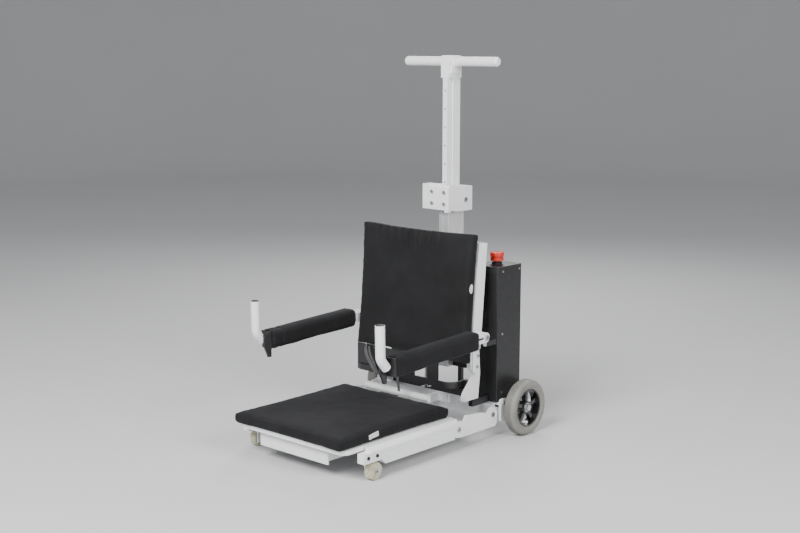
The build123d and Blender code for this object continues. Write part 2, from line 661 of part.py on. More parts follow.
# ---------------------------------------------------------------- armrests
def arm_plane(side):
    """The plane across an armrest at its pivot, whose normal runs forward along the arm."""
    droop = radians(ARM_DROOP)
    return Plane(
        origin=(side * ARM_X, ARM_PIVOT[0], ARM_PIVOT[1]),
        x_dir=(1, 0, 0),
        z_dir=(0, -cos(droop), -sin(droop)),
    )


def armrest(name, side):
    """One armrest: white knuckle on the pivot, inner frame, padded sleeve and upright grip."""
    across = arm_plane(side)
    knuckle_x = mirrored(KNUCKLE_X, side)
    pad_start, pad_end = ARM_PAD_SPAN

    with BuildPart() as knuckle:
        bar_x(knuckle_x, ARM_PIVOT[0], ARM_PIVOT[1], KNUCKLE_RADIUS)
        with BuildSketch(across):
            with Locations((side * (middle(KNUCKLE_X) - ARM_X), 0)):
                Rectangle(KNUCKLE_X[1] - KNUCKLE_X[0], 2 * KNUCKLE_RADIUS)
        extrude(amount=pad_start - 1)
        slab(mirrored((292, 306), side), STOP_LUG_Y, STOP_LUG_Z)
        with BuildSketch(across.offset(16)):
            Circle(ARM_TUBE_RADIUS)
        extrude(amount=pad_start, mode=Mode.SUBTRACT)
        bar_x(knuckle_x, ARM_PIVOT[0], ARM_PIVOT[1], 6 + RUNNING, Mode.SUBTRACT)
    save(knuckle, f"arm_knuckle_{name}")

    with BuildPart() as frame:
        with BuildSketch(across.offset(16)):
            Circle(ARM_TUBE_RADIUS)
        extrude(amount=pad_end - 16)
        with BuildSketch(across.offset(pad_end)):
            Rectangle(46, 62)
        extrude(amount=4)
        with BuildSketch(side_plane((271, 278), side)):
            with BuildLine():
                Polyline((-286, 398), (-318, 388), (-318, 346), (-300, 306), (-286, 306), close=True)
            make_face()
        extrude(amount=7)
        bar_x(knuckle_x, ARM_PIVOT[0], ARM_PIVOT[1], KNUCKLE_RADIUS, Mode.SUBTRACT)
    save(frame, f"arm_frame_{name}")

    with BuildPart() as pad:
        with BuildSketch(across.offset(pad_start)):
            RectangleRounded(ARM_PAD[0], ARM_PAD[1], 14)
            Circle(ARM_TUBE_RADIUS + 0.3, mode=Mode.SUBTRACT)
        extrude(amount=pad_end - pad_start)
    save(pad, f"arm_pad_{name}")

    with BuildPart() as grip:
        with BuildLine(Plane.YZ.offset(side * ARM_X)) as path:
            FilletPolyline((-308, 364), (-335, 396), (-337, 508), radius=38)
        with BuildSketch(Plane(origin=path.line @ 0, z_dir=path.line % 0)):
            Circle(GRIP_RADIUS)
        sweep()
    save(grip, f"arm_grip_{name}")


for side_name, side_sign in SIDES:
    armrest(side_name, side_sign)

# ---------------------------------------------------------------- handle
STEM_WALL = 2.5
STEM_Y = (349.0, 391.0)
with BuildPart() as stem_tube:
    with BuildSketch(Plane.XY.offset(STEM_Z[0])):
        with Locations((0, middle(STEM_Y))):
            RectangleRounded(30, 42, 2)
            Rectangle(30 - 2 * STEM_WALL, 42 - 2 * STEM_WALL, mode=Mode.SUBTRACT)
    extrude(amount=STEM_Z[1] - STEM_Z[0])
save(stem_tube, "stem_tube")

RAIL_BAR_Y = (323.5, 347.0)
with BuildPart() as index_rail:
    slab((-10.5, 10.5), RAIL_BAR_Y, STEM_Z)
    for step in range(INDEX_HOLES):
        bar_y(0, RAIL_BAR_Y, INDEX_FIRST_Z + INDEX_PITCH * step, 4, Mode.SUBTRACT)
save(index_rail, "index_rail")

CLAMP_HALF = 39.0
CLAMP_RADIUS = 20.5
CLAMPED_RADIUS = 16.2
BAR_END_ROUND = 9.0
with BuildPart() as handle_clamp:
    slab((-19, 19), (RAIL_BAR_Y[0] - 1, 392), (STEM_Z[1], BAR_Z))
    bar_x((-CLAMP_HALF, CLAMP_HALF), BAR_Y, BAR_Z, CLAMP_RADIUS)
    slab((14, 24), (330, 386), (1280, 1306))
    bar_x((-CLAMP_HALF, CLAMP_HALF), BAR_Y, BAR_Z, CLAMPED_RADIUS, Mode.SUBTRACT)
save(handle_clamp, "handle_clamp")

with BuildPart() as handle_bar:
    bar_x((-CLAMP_HALF, CLAMP_HALF), BAR_Y, BAR_Z, CLAMPED_RADIUS)
    for _, side in SIDES:
        bar_x(mirrored((CLAMP_HALF, BAR_HALF), side), BAR_Y, BAR_Z, BAR_RADIUS)
    ends = handle_bar.edges().filter_by(GeomType.CIRCLE).sort_by(Axis.X)
    fillet([ends[0], ends[-1]], radius=BAR_END_ROUND)
save(handle_bar, "handle_bar")

# ---------------------------------------------------------------- controls
with BuildPart() as estop_button:
    bar_z(ESTOP[0], ESTOP[1], (600, 626), 8)
    bar_z(ESTOP[0], ESTOP[1], (626, 638), 24)
    bar_z(ESTOP[0], ESTOP[1], (638, 642), 20)
    bar_z(ESTOP[0], ESTOP[1], (642, 657), 25)
    fillet(estop_button.faces().sort_by(Axis.Z)[-1].edges(), radius=5)
save(estop_button, "estop_button")

with BuildPart() as index_knob:
    bar_y(0, (STEM_Y[1] + 0.8, HEAD_Y[1] + 8), KNOB_Z, PLUNGER_RADIUS)
    bar_y(0, (HEAD_Y[1] + 8, HEAD_Y[1] + 28), KNOB_Z, 14)
    fillet(index_knob.faces().sort_by(Axis.Y)[-1].edges(), radius=4)
save(index_knob, "index_knob")
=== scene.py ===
"""Looks of the stair climbing trolley: materials, upholstery and trim on the CAD frame, in metres."""

import json
import math
import random

import bmesh
import bpy
from mathutils import Matrix, Vector, noise
from mathutils.bvhtree import BVHTree


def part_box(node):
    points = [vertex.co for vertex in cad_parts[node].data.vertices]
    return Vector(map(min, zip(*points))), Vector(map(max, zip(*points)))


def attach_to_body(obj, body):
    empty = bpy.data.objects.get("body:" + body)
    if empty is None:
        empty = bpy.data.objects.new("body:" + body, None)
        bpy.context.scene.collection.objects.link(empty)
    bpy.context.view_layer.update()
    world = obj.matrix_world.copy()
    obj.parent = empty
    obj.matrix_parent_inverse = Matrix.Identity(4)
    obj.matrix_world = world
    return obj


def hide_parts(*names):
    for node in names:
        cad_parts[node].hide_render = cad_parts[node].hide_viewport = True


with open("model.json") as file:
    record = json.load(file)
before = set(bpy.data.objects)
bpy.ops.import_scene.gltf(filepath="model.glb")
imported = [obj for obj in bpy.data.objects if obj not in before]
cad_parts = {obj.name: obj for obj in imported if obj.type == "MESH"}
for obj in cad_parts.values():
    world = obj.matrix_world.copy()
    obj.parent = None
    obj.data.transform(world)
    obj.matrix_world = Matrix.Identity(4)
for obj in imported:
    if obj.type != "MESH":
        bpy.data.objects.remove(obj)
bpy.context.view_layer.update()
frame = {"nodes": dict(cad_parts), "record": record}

SIDES = (("left", 1), ("right", -1))
RECLINE = math.radians(4.95)
ARM_DROOP = math.radians(2.2)


# ---------------------------------------------------------------- procedural materials
class Surface:
    """A Principled material whose detail comes from textures in the object's own space."""

    def __init__(self, name, fixed):
        self.material = bpy.data.materials.new(name)
        self.material.use_nodes = True
        self.nodes = self.material.node_tree.nodes
        self.links = self.material.node_tree.links
        self.nodes.clear()
        self.shader = self.nodes.new("ShaderNodeBsdfPrincipled")
        output = self.nodes.new("ShaderNodeOutputMaterial")
        self.links.new(self.shader.outputs["BSDF"], output.inputs["Surface"])
        self.place = self.nodes.new("ShaderNodeTexCoord").outputs["Object"]
        for socket, value in fixed.items():
            self.shader.inputs[socket].default_value = value

    def connect(self, value, socket):
        """Link an output, or set a plain number or colour."""
        if isinstance(value, bpy.types.NodeSocket):
            self.links.new(value, socket)
        else:
            socket.default_value = value

    def stretched(self, scale):
        """The object coordinates with a different scale along each axis."""
        mapping = self.nodes.new("ShaderNodeMapping")
        self.links.new(self.place, mapping.inputs["Vector"])
        mapping.inputs["Scale"].default_value = scale
        return mapping.outputs["Vector"]

    def noise(self, scale, detail=3.0, vector=None):
        """Cloudy noise, about 1/scale metres across."""
        texture = self.nodes.new("ShaderNodeTexNoise")
        texture.inputs["Scale"].default_value = scale
        texture.inputs["Detail"].default_value = detail
        self.links.new(vector or self.place, texture.inputs["Vector"])
        return texture.outputs["Fac"]

    def bands(self, per_metre, direction, vector=None):
        """Straight soft bands across one direction."""
        texture = self.nodes.new("ShaderNodeTexWave")
        texture.bands_direction = direction
        texture.inputs["Scale"].default_value = per_metre * math.tau / 20
        texture.inputs["Distortion"].default_value = 0.4
        self.links.new(vector or self.place, texture.inputs["Vector"])
        return texture.outputs["Fac"]

    def cells(self, scale):
        """Distance to the nearest of many scattered points."""
        texture = self.nodes.new("ShaderNodeTexVoronoi")
        texture.inputs["Scale"].default_value = scale
        self.links.new(self.place, texture.inputs["Vector"])
        return texture.outputs["Distance"]

    def spread(self, value, low, high, start=0.3, end=0.7):
        """Map a value from the span start to end onto low to high."""
        node = self.nodes.new("ShaderNodeMapRange")
        self.links.new(value, node.inputs["Value"])
        node.inputs["From Min"].default_value = start
        node.inputs["From Max"].default_value = end
        node.inputs["To Min"].default_value = low
        node.inputs["To Max"].default_value = high
        return node.outputs["Result"]

    def math(self, operation, first, second):
        """One arithmetic step."""
        node = self.nodes.new("ShaderNodeMath")
        node.operation = operation
        self.connect(first, node.inputs[0])
        self.connect(second, node.inputs[1])
        return node.outputs["Value"]

    def mix(self, factor, first, second):
        """A colour between two colours."""
        node = self.nodes.new("ShaderNodeMix")
        node.data_type = "RGBA"
        self.connect(factor, node.inputs["Factor"])
        self.connect(first, node.inputs["A"])
        self.connect(second, node.inputs["B"])
        return node.outputs["Result"]

    def edges(self, start, end):
        """0 on flat stretches and 1 on sharp outer edges."""
        geometry = self.nodes.new("ShaderNodeNewGeometry")
        return self.spread(geometry.outputs["Pointiness"], 0, 1, start, end)

    def bump(self, height, depth, strength=1.0, below=None):
        """A normal bent by a height, depth metres deep, over an earlier normal."""
        node = self.nodes.new("ShaderNodeBump")
        node.inputs["Distance"].default_value = depth
        node.inputs["Strength"].default_value = strength
        self.links.new(height, node.inputs["Height"])
        if below:
            self.links.new(below, node.inputs["Normal"])
        return node.outputs["Normal"]

    def finish(self, colour, roughness, normal):
        """Connect the three detailed channels."""
        self.connect(colour, self.shader.inputs["Base Color"])
        self.connect(roughness, self.shader.inputs["Roughness"])
        self.connect(normal, self.shader.inputs["Normal"])
        return self.material


def rgb(red, green, blue):
    """An opaque linear colour."""
    return (red, green, blue, 1.0)


def powder_coat(name, colour, shade, worn, gloss):
    """Sprayed and baked paint: orange peel, faint clouds of tone, scuffs and rubbed edges."""
    s = Surface(name, {"Coat Weight": 0.15, "Coat Roughness": 0.25, "IOR": 1.5})
    tone = s.mix(s.spread(s.noise(5, 4), 0, 1), colour, shade)
    scuffs = s.spread(s.noise(90, 9, s.stretched((1, 1, 0.3))), 0, 0.35, 0.7, 0.85)
    tone = s.mix(scuffs, tone, worn)
    rubbed = s.math("MULTIPLY", s.edges(0.56, 0.68), s.spread(s.noise(60, 5), 0, 0.5, 0.5, 0.7))
    tone = s.mix(rubbed, tone, worn)
    clouds = s.spread(s.noise(24, 5), gloss - 0.04, gloss + 0.05)
    roughness = s.math("ADD", clouds, s.math("MULTIPLY", scuffs, 0.15))
    return s.finish(tone, roughness, s.bump(s.noise(750, 2), 0.00025, 0.35))


def drawn_metal(name, colour, shade, roughness, grain, metallic=1.0):
    """Drawn or brushed metal: fine streaks along one direction, smears and light edges."""
    s = Surface(name, {"Metallic": metallic, "IOR": 1.5})
    streaks = s.noise(1, 6, s.stretched(grain))
    smears = s.noise(14, 5)
    tone = s.mix(s.spread(streaks, 0, 1), colour, shade)
    tone = s.mix(s.math("MULTIPLY", s.edges(0.53, 0.6), 0.4), tone, rgb(0.92, 0.92, 0.92))
    rough = s.math("ADD", s.spread(streaks, roughness - 0.06, roughness + 0.07), s.spread(smears, -0.04, 0.1))
    return s.finish(tone, rough, s.bump(streaks, 0.00012, 0.3))


def moulded(name, colour, shade, roughness, grain_depth, fixed=None):
    """Moulded plastic: a fine spark-eroded grain, flow marks and small scuffs."""
    s = Surface(name, {"IOR": 1.47, **(fixed or {})})
    tone = s.mix(s.spread(s.noise(18, 4), 0, 1), colour, shade)
    scuffs = s.spread(s.noise(130, 6), 0, 1, 0.62, 0.8)
    clouds = s.spread(s.noise(40, 4), roughness - 0.04, roughness + 0.06)
    rough = s.math("ADD", clouds, s.math("MULTIPLY", scuffs, 0.15))
    return s.finish(tone, rough, s.bump(s.cells(1400), grain_depth, 0.5))


def woven(name, colour, shade, lint):
    """Woven polyester upholstery: crossing threads, slubs, rubbed patches and specks of lint."""
    s = Surface(name, {
        "Sheen Weight": 0.09, "Sheen Roughness": 0.4, "Sheen Tint": rgb(0.6, 0.6, 0.65),
        "Specular IOR Level": 0.2,
    })
    warp = s.bands(1100, "X")
    weft = s.bands(1100, "DIAGONAL", s.stretched((0, 1, 1)))
    weave = s.math("MULTIPLY", warp, weft)
    slubs = s.noise(1, 4, s.stretched((900, 160, 160)))
    tone = s.mix(s.spread(s.noise(9, 5), 0, 1), colour, shade)
    tone = s.mix(s.spread(slubs, 0, 0.5, 0.45, 0.75), tone, shade)
    specks = s.spread(s.cells(230), 0.5, 0, 0.02, 0.07)
    tone = s.mix(s.math("MULTIPLY", specks, s.spread(s.noise(30, 3), 0, 1, 0.5, 0.7)), tone, lint)
    rough = s.spread(s.noise(16, 5), 0.78, 0.95)
    cloth = s.bump(weave, 0.0003, 0.6)
    return s.finish(tone, rough, s.bump(s.noise(70, 4), 0.0012, 0.35, cloth))


def webbing():
    """Flat woven belt: strong ribs across it and a grey sheen."""
    s = Surface("belt_webbing", {"Sheen Weight": 0.5, "Sheen Roughness": 0.3, "Specular IOR Level": 0.4})
    ribs = s.bands(700, "DIAGONAL")
    tone = s.mix(s.spread(ribs, 0, 1, 0.2, 0.8), rgb(0.06, 0.06, 0.063), rgb(0.13, 0.13, 0.136))
    tone = s.mix(s.spread(s.noise(90, 4), 0, 0.6), tone, rgb(0.04, 0.04, 0.043))
    return s.finish(tone, s.spread(s.noise(120, 3), 0.45, 0.65), s.bump(ribs, 0.0004, 0.7))


def tyre_rubber():
    """Grey non-marking rubber with dust in its surface and small dark specks."""
    s = Surface("tyre_rubber", {"IOR": 1.45, "Specular IOR Level": 0.35})
    tone = s.mix(s.spread(s.noise(22, 6), 0, 1), rgb(0.255, 0.25, 0.225), rgb(0.19, 0.187, 0.172))
    tone = s.mix(s.spread(s.noise(210, 5), 0, 0.5, 0.5, 0.75), tone, rgb(0.36, 0.355, 0.33))
    tone = s.mix(s.spread(s.cells(300), 0.35, 0, 0.02, 0.1), tone, rgb(0.09, 0.09, 0.085))
    return s.finish(tone, s.spread(s.noise(60, 5), 0.6, 0.82), s.bump(s.noise(420, 5), 0.0005, 0.55))


def urethane():
    """Clear yellowish urethane roller, marbled inside and dulled by dirt."""
    s = Surface("roller_urethane", {
        "IOR": 1.5, "Coat Weight": 0.8, "Coat Roughness": 0.06,
        "Subsurface Weight": 0.3, "Subsurface Scale": 0.01,
    })
    tone = s.mix(s.spread(s.noise(45, 6), 0, 1, 0.35, 0.65), rgb(0.66, 0.64, 0.47), rgb(0.4, 0.38, 0.25))
    tone = s.mix(s.spread(s.noise(160, 6), 0, 0.7, 0.56, 0.75), tone, rgb(0.16, 0.15, 0.12))
    return s.finish(tone, s.spread(s.noise(90, 5), 0.22, 0.45), s.bump(s.noise(160, 5), 0.0004, 0.4))


def printed_tag():
    """A plain white woven tag with no print on it."""
    s = Surface("tag_ribbon", {"Sheen Weight": 0.2, "Sheen Roughness": 0.5})
    threads = s.bands(2200, "DIAGONAL")
    tone = s.mix(s.spread(s.noise(120, 4), 0, 1), rgb(0.78, 0.78, 0.76), rgb(0.6, 0.6, 0.59))
    return s.finish(tone, s.spread(s.noise(200, 3), 0.5, 0.7), s.bump(threads, 0.0002, 0.5))


WHITE = rgb(0.87, 0.875, 0.88)
WHITE_SHADE = rgb(0.845, 0.85, 0.86)
materials = {
    "white_paint": powder_coat("white_paint", WHITE, WHITE_SHADE, rgb(0.66, 0.665, 0.67), 0.34),
    "black_paint": powder_coat("black_paint", rgb(0.012, 0.012, 0.013), rgb(0.016, 0.016, 0.0175),
                               rgb(0.045, 0.045, 0.047), 0.42),
    "aluminium": drawn_metal("aluminium", rgb(0.88, 0.885, 0.89), rgb(0.74, 0.745, 0.76), 0.34,
                             (420, 420, 5), 0.6),
    "steel": drawn_metal("steel", rgb(0.62, 0.62, 0.63), rgb(0.45, 0.45, 0.46), 0.22, (6, 420, 420)),
    "zinc": drawn_metal("zinc", rgb(0.42, 0.42, 0.41), rgb(0.24, 0.24, 0.24), 0.33, (160, 300, 300)),
    "charcoal_fabric": woven("charcoal_fabric", rgb(0.0095, 0.0095, 0.01), rgb(0.0145, 0.0145, 0.0155),
                             rgb(0.11, 0.11, 0.12)),
    "tyre_grey": tyre_rubber(),
    "hub_black": moulded("hub_black", rgb(0.008, 0.008, 0.009), rgb(0.015, 0.015, 0.016), 0.16, 0.00004,
                         {"Coat Weight": 0.6, "Coat Roughness": 0.06}),
    "roller_urethane": urethane(),
    "black_plastic": moulded("black_plastic", rgb(0.012, 0.012, 0.013), rgb(0.02, 0.02, 0.021), 0.48, 0.00025),
    "red_plastic": moulded("red_plastic", rgb(0.72, 0.035, 0.012), rgb(0.55, 0.022, 0.01), 0.24, 0.00004,
                           {"Coat Weight": 0.4, "Coat Roughness": 0.1}),
}
belt = webbing()
tag_ribbon = printed_tag()


# ---------------------------------------------------------------- carried-over CAD nodes
SOFT_NODES = ("back_cushion", "seat_cushion", "arm_pad_left", "arm_pad_right")
EDGE_ROUND = 0.0007
SMOOTH_ANGLE = math.radians(32)


def finish_node(node, slot):
    """Give a CAD node its material, smooth shading and softly broken edges."""
    piece = frame["nodes"][node]
    piece.data.materials.clear()
    piece.data.materials.append(materials[slot])
    for polygon in piece.data.polygons:
        polygon.use_smooth = True
        polygon.material_index = 0
    piece.data.set_sharp_from_angle(angle=SMOOTH_ANGLE)
    bevel = piece.modifiers.new("broken_edges", "BEVEL")
    bevel.width = EDGE_ROUND
    bevel.segments = 2
    bevel.limit_method = "ANGLE"
    bevel.angle_limit = math.radians(40)
    bevel.harden_normals = True


for entry in frame["record"]["subparts"]:
    if entry["node"] not in SOFT_NODES:
        finish_node(entry["node"], entry["material_slot"])

# The bolts through the roller blocks are blackened, and the others are zinc plated.
block_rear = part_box("roller_blocks")[1].y
bolts = frame["nodes"]["frame_bolts"].data
bolts.materials.append(materials["black_plastic"])
for face in bolts.polygons:
    if face.center.y < block_rear:
        face.material_index = 1


# The stop lug behind each armrest knuckle is black: the faces below its top and behind its front.
LUG_TOP = 0.3685
LUG_FRONT = 0.191
for side_label, _ in SIDES:
    knuckle = frame["nodes"][f"arm_knuckle_{side_label}"].data
    knuckle.materials.append(materials["black_paint"])
    for face in knuckle.polygons:
        if face.center.z < LUG_TOP and face.center.y > LUG_FRONT:
            face.material_index = 1


# ---------------------------------------------------------------- mesh helpers
def add_object(name, mesh_or_bm, material):
    """A smooth object from a mesh or a bmesh, in the scene."""
    mesh = mesh_or_bm
    if isinstance(mesh_or_bm, bmesh.types.BMesh):
        bmesh.ops.recalc_face_normals(mesh_or_bm, faces=mesh_or_bm.faces)
        mesh = bpy.data.meshes.new(name)
        mesh_or_bm.to_mesh(mesh)
        mesh_or_bm.free()
    mesh.materials.clear()
    mesh.materials.append(material)
    mesh.polygons.foreach_set("use_smooth", [True] * len(mesh.polygons))
    piece = bpy.data.objects.new(name, mesh)
    bpy.context.scene.collection.objects.link(piece)
    return piece


def attach(piece, body, slot, *nodes):
    """Ride on a body and stand for CAD nodes where any are given; the slot is not used."""
    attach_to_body(piece, body)
    if nodes:
        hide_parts(*nodes)
    return piece


def evaluated(piece):
    """A copy of the piece's mesh with its modifiers applied."""
    bpy.context.view_layer.update()
    graph = bpy.context.evaluated_depsgraph_get()
    return bpy.data.meshes.new_from_object(piece.evaluated_get(graph), depsgraph=graph)


def apply_modifiers(piece):
    """Swap the piece's mesh for the evaluated one and drop the modifiers."""
    old = piece.data
    fresh = evaluated(piece)
    piece.modifiers.clear()
    piece.data = fresh
    bpy.data.meshes.remove(old)


def box_grid(half, cell):
    """A closed box of square cells, centred on the origin."""
    counts = [max(2, round(2 * length / cell)) for length in half]
    form = bmesh.new()
    for axis in range(3):
        across, along = [a for a in range(3) if a != axis]
        for sign in (-1, 1):
            rows = []
            for i in range(counts[across] + 1):
                rows.append([])
                for j in range(counts[along] + 1):
                    point = Vector((0, 0, 0))
                    point[axis] = sign * half[axis]
                    point[across] = half[across] * (2 * i / counts[across] - 1)
                    point[along] = half[along] * (2 * j / counts[along] - 1)
                    rows[-1].append(form.verts.new(point))
            for i in range(counts[across]):
                for j in range(counts[along]):
                    form.faces.new((rows[i][j], rows[i + 1][j], rows[i + 1][j + 1], rows[i][j + 1]))
    bmesh.ops.remove_doubles(form, verts=form.verts, dist=1e-6)
    return form


def swept(points, outline, closed=False):
    """A bmesh tube that carries an outline of (side, up) pairs along points, with up nearest to +Z."""
    form = bmesh.new()
    rings = []
    count = len(points)
    for index, point in enumerate(points):
        before = points[(index - 1) % count if closed else max(index - 1, 0)]
        after = points[(index + 1) % count if closed else min(index + 1, count - 1)]
        ahead = (after - before).normalized()
        guide = Vector((0, 0, 1)) if abs(ahead.z) < 0.9 else Vector((1, 0, 0))
        side = ahead.cross(guide).normalized()
        up = side.cross(ahead)
        rings.append([form.verts.new(point + side * a + up * b) for a, b in outline])
    size = len(outline)
    for index in range(count if closed else count - 1):
        here, there = rings[index], rings[(index + 1) % count]
        for k in range(size):
            form.faces.new((here[k], here[(k + 1) % size], there[(k + 1) % size], there[k]))
    if not closed:
        form.faces.new(rings[0])
        form.faces.new(reversed(rings[-1]))
    return form


def circle(radius, count):
    """Points of a round outline."""
    angles = [math.tau * k / count for k in range(count)]
    return [(radius * math.cos(angle), radius * math.sin(angle)) for angle in angles]


def lathe(profile, count, place):
    """A bmesh turned from (radius, height) pairs about +Z, then moved by a matrix."""
    form = bmesh.new()
    rings = []
    for radius, height in profile:
        rings.append([form.verts.new((a, b, height)) for a, b in circle(max(radius, 1e-5), count)])
    for lower, upper in zip(rings, rings[1:]):
        for k in range(count):
            form.faces.new((lower[k], lower[(k + 1) % count], upper[(k + 1) % count], upper[k]))
    form.faces.new(rings[0])
    form.faces.new(rings[-1])
    bmesh.ops.transform(form, matrix=place, verts=form.verts)
    return form


# ---------------------------------------------------------------- upholstery
VOXEL = 0.005
PRESSURE = 4.0
LAST_FRAME = 20


def padded_form(name, size, corner, crown, pull):
    """A crowned closed pad, base on z = 0, whose sides pull in between its corners."""
    half = Vector(size) / 2
    form = box_grid(half, 2 * VOXEL)
    for vertex in form.verts:
        point = vertex.co
        inner = Vector([max(-half[a] + corner, min(half[a] - corner, point[a])) for a in range(3)])
        step = point - inner
        if step.length > 1e-7:
            point = inner + step.normalized() * corner
        u, v, w = (point[a] / half[a] for a in range(3))
        point.x *= 1 - pull * (1 - v * v) * abs(u) ** 3
        point.y *= 1 - pull * (1 - u * u) * abs(v) ** 3
        if w > 0:
            point.z += crown * (1 - abs(u) ** 3) * (1 - abs(v) ** 3)
        vertex.co = point + Vector((0, 0, half.z))
    return add_object(name, form, materials["charcoal_fabric"])


def inflate(piece, cap):
    """Remesh the pad, blow it up as cloth with no gravity, and keep each point within cap of its start."""
    remesh = piece.modifiers.new("voxels", "REMESH")
    remesh.mode = "VOXEL"
    remesh.voxel_size = VOXEL
    apply_modifiers(piece)
    start = [vertex.co.copy() for vertex in piece.data.vertices]
    cloth = piece.modifiers.new("cover", "CLOTH")
    settings = cloth.settings
    settings.quality = 6
    settings.mass = 0.25
    settings.tension_stiffness = 12
    settings.compression_stiffness = 12
    settings.shear_stiffness = 5
    settings.bending_stiffness = 0.4
    settings.use_pressure = True
    settings.uniform_pressure_force = PRESSURE
    settings.effector_weights.gravity = 0
    cloth.collision_settings.use_collision = False
    cloth.point_cache.frame_start = 1
    cloth.point_cache.frame_end = LAST_FRAME
    for number in range(1, LAST_FRAME + 1):
        bpy.context.scene.frame_set(number)
    apply_modifiers(piece)
    bpy.context.scene.frame_set(1)
    for vertex, origin in zip(piece.data.vertices, start):
        step = vertex.co - origin
        if step.length > cap:
            vertex.co = origin + step.normalized() * cap


def fit(piece, size, base_cut):
    """Flatten the base and bring the pad to its full size."""
    points = [vertex.co for vertex in piece.data.vertices]
    low = Vector([min(p[a] for p in points) for a in range(3)])
    high = Vector([max(p[a] for p in points) for a in range(3)])
    low.z += base_cut
    target_low = Vector((-size[0] / 2, -size[1] / 2, 0))
    for vertex in piece.data.vertices:
        vertex.co.z = max(vertex.co.z, low.z)
        for a in range(3):
            vertex.co[a] = target_low[a] + (vertex.co[a] - low[a]) / (high[a] - low[a]) * size[a]


def subdivide(piece):
    """One level of subdivision, applied."""
    smooth = piece.modifiers.new("smooth", "SUBSURF")
    smooth.levels = smooth.render_levels = 1
    apply_modifiers(piece)


def bell(distance, width):
    """A soft bump that is 1 at no distance."""
    return math.exp(-((distance / width) ** 2))


SEAM_IN = 0.007
SEAM_WIDTH = 0.0022
SEAM_DEPTH = 0.0016
PUCKER_REACH = 0.016


def dress(piece, size, folds):
    """Sink the two seams of the side band, pucker the cloth beside them and add the folds."""
    half_x, half_y, height = size[0] / 2, size[1] / 2, size[2]
    normals = [normal.vector.copy() for normal in piece.data.vertex_normals]
    for vertex, normal in zip(piece.data.vertices, normals):
        x, y, z = vertex.co
        edge = min(half_x - abs(x), half_y - abs(y))
        on_side = bell(max(edge, 0), 0.012)
        along = x + y
        offset = 0.0
        for level in (SEAM_IN, height - SEAM_IN):
            near = abs(z - level)
            offset -= SEAM_DEPTH * bell(near, SEAM_WIDTH) * on_side
            pucker = noise.noise(Vector((along * 70, level * 40, 3.1)))
            offset += 0.0009 * pucker * bell(near, PUCKER_REACH) * bell(edge, 0.03)
        offset += 0.0007 * noise.noise(Vector((x * 22, y * 22, z * 22)))
        if z < 0.0015:
            offset = 0.0
        vertex.co += normal * offset + folds(vertex.co, normal)


def no_folds(point, normal):
    """A pad with a tight cover."""
    return Vector((0, 0, 0))


def rounded_loop(half_x, half_y, radius, step):
    """Evenly spaced (x, y) points round a rounded rectangle."""
    corners = []
    for quarter, (sign_x, sign_y) in enumerate(((1, 1), (-1, 1), (-1, -1), (1, -1))):
        for k in range(13):
            angle = (quarter + k / 12) * math.pi / 2
            corners.append(Vector((sign_x * (half_x - radius) + radius * math.cos(angle),
                                   sign_y * (half_y - radius) + radius * math.sin(angle))))
    lengths = [(corners[(k + 1) % len(corners)] - corners[k]).length for k in range(len(corners))]
    total = sum(lengths)
    count = round(total / step)
    points = []
    index, passed = 0, 0.0
    for k in range(count):
        goal = total * k / count
        while passed + lengths[index] < goal:
            passed += lengths[index]
            index += 1
        part = (goal - passed) / lengths[index]
        points.append(corners[index].lerp(corners[(index + 1) % len(corners)], part))
    return points


STITCH_PITCH = 0.0055
STITCH_LENGTH = 0.0036
STITCH_RADIUS = 0.0004


def stitch_row(name, piece, loop, height, material):
    """A row of separate stitches laid on a pad along a loop of (x, y) points at a height."""
    tree = BVHTree.FromPolygons(
        [v.co for v in piece.data.vertices], [tuple(p.vertices) for p in piece.data.polygons]
    )
    laid = [tree.find_nearest(Vector((p.x, p.y, height)))[0] for p in loop]
    row = bmesh.new()
    for here, there in zip(laid, laid[1:] + laid[:1]):
        ahead = (there - here).normalized()
        middle = (here + there) / 2
        ends = [middle - ahead * STITCH_LENGTH / 2, middle - ahead * STITCH_LENGTH / 4,
                middle + ahead * STITCH_LENGTH / 4, middle + ahead * STITCH_LENGTH / 2]
        guide = Vector((0, 0, 1)) if abs(ahead.z) < 0.9 else Vector((1, 0, 0))
        side = ahead.cross(guide).normalized()
        up = side.cross(ahead)
        rings = []
        for point, scale in zip(ends, (0.35, 1, 1, 0.35)):
            rings.append([row.verts.new(point + (side * a + up * b) * scale) for a, b in circle(STITCH_RADIUS, 5)])
        for lower, upper in zip(rings, rings[1:]):
            for k in range(5):
                row.faces.new((lower[k], lower[(k + 1) % 5], upper[(k + 1) % 5], upper[k]))
        row.faces.new(rings[0])
        row.faces.new(rings[-1])
    return add_object(name, row, material)


def cushion(name, node, body, place, size, style):
    """One cushion: form, cloth cover, seams, folds and a stitched border, set down by a matrix."""
    inset = style["inset"]
    start = (size[0] - 2 * inset, size[1] - 2 * inset, size[2] - inset - style["crown"])
    piece = padded_form(name, start, style["corner"], style["crown"], style["pull"])
    inflate(piece, style["cap"])
    fit(piece, size, style["base_cut"])
    subdivide(piece)
    dress(piece, size, style.get("folds", no_folds))
    loop = rounded_loop(size[0] / 2 - 0.011, size[1] / 2 - 0.011, 0.016, STITCH_PITCH)
    stitches = stitch_row(f"{name}_stitches", piece, loop, size[2], materials["black_plastic"])
    for part in (piece, stitches):
        part.data.transform(place)
    attach(piece, body, "charcoal_fabric", node)
    attach(stitches, body, "charcoal_fabric")
    return piece


